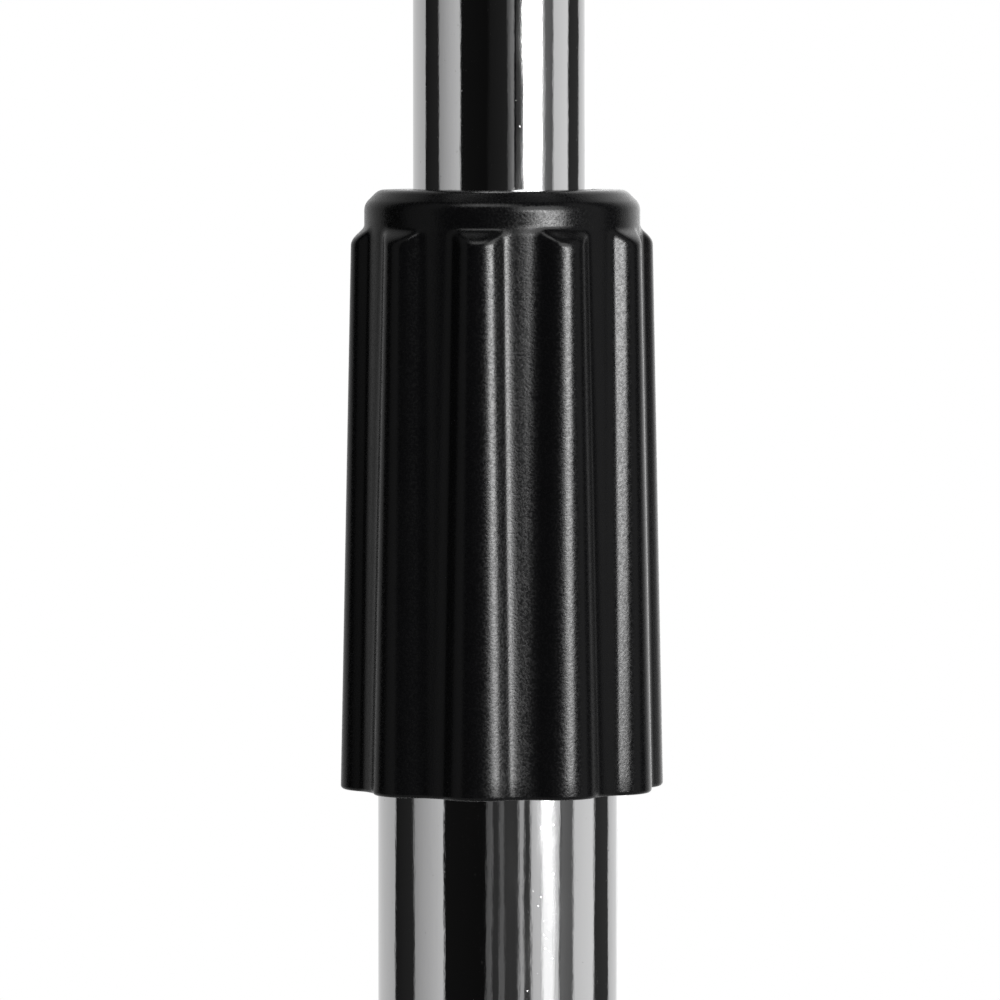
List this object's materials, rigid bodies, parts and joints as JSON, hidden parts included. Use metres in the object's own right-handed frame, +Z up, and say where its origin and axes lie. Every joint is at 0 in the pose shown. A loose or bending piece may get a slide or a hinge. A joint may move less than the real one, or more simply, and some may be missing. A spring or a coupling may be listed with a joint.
{
  "type": "music stand",
  "caption": "Orchestra music stand: bent-leg tripod base, telescopic chrome column with a fluted twist clutch, and a tilting sheet-steel desk with a page ledge.",
  "frame": {"origin": "on the floor, at the middle of the bounding box's bottom face; the column's axis stands at x = 0, y = -0.0503", "axes": "+Z up along the column, -Y towards the musician, +X to the side that carries the tilt knob"},
  "size_m": [0.4912, 0.4158, 1.2719],
  "materials": {
    "clutch_finish": "semi-gloss black with a fine orange peel",
    "powder_coat": "satin black powder coat",
    "chrome": "bright chrome plate",
    "zinc_steel": "bright zinc plate",
    "brass": "machined",
    "rubber": "matt moulded",
    "nylon": "matt moulded",
    "knob_plastic": "fine moulded texture",
    "friction_fibre": "pressed fibre"
  },
  "bodies": {
    "base": {"hub": "powder_coat", "leg_rear": "powder_coat", "leg_front_right": "powder_coat", "leg_front_left": "powder_coat", "foot_rear": "rubber", "foot_front_right": "rubber", "foot_front_left": "rubber", "leg_screw_rear": "zinc_steel", "leg_screw_front_right": "zinc_steel", "leg_screw_front_left": "zinc_steel", "hub_grub_screw": "zinc_steel", "column_bolt": "zinc_steel", "column_washer": "zinc_steel", "tube_thread_plug": "zinc_steel", "lower_tube": "chrome", "collet_seat": "zinc_steel", "split_collet": "nylon"},
    "clutch_ring": {"thrust_ring": "zinc_steel"},
    "clutch_grip": {"clutch_grip": "clutch_finish"},
    "guide": {"guide_bush": "nylon"},
    "upper_column": {"upper_tube": "chrome", "tube_end_plug": "nylon", "tilt_head": "powder_coat", "head_grub_screw": "zinc_steel"},
    "desk": {"desk_tray": "powder_coat", "desk_bracket": "powder_coat", "pivot_bolt": "zinc_steel", "friction_washer_left": "friction_fibre", "friction_washer_right": "friction_fibre", "bracket_rivet_lower_left": "zinc_steel", "bracket_rivet_upper_left": "zinc_steel", "bracket_rivet_lower_right": "zinc_steel", "bracket_rivet_upper_right": "zinc_steel"},
    "knob_washer": {"knob_washer": "zinc_steel"},
    "tilt_knob": {"tilt_knob": "knob_plastic", "knob_insert": "brass"}
  },
  "joints": [
    {"name": "height_slide", "type": "slide", "parent": "base", "child": "guide", "axis": [0, 0, 1], "range_m": [-0.345, 0.145]},
    {"name": "column_swivel", "type": "hinge", "parent": "guide", "child": "upper_column", "pos_m": [0, -0.05029, 0.76], "axis": [0, 0, 1], "continuous": true},
    {"name": "clutch_lift", "type": "slide", "parent": "base", "child": "clutch_ring", "axis": [0, 0, 1], "range_m": [0, 0.0015]},
    {"name": "clutch_twist", "type": "hinge", "parent": "clutch_ring", "child": "clutch_grip", "pos_m": [0, -0.05029, 0.617], "axis": [0, 0, 1], "range_deg": [0, 360]},
    {"name": "desk_tilt", "type": "hinge", "parent": "upper_column", "child": "desk", "pos_m": [0, -0.05029, 1.105], "axis": [1, 0, 0], "range_deg": [-65, 25]},
    {"name": "knob_travel", "type": "slide", "parent": "desk", "child": "knob_washer", "axis": [1, 0, 0], "range_m": [0, 0.00125]},
    {"name": "knob_turn", "type": "hinge", "parent": "knob_washer", "child": "tilt_knob", "pos_m": [0.031, -0.05029, 1.105], "axis": [1, 0, 0], "range_deg": [0, 360]}
  ],
  "couplings": [
    {"joint": "clutch_twist", "follows": "clutch_lift", "rad_per_m": 4188.8},
    {"joint": "knob_turn", "follows": "knob_travel", "rad_per_m": 5026.5}
  ]
}
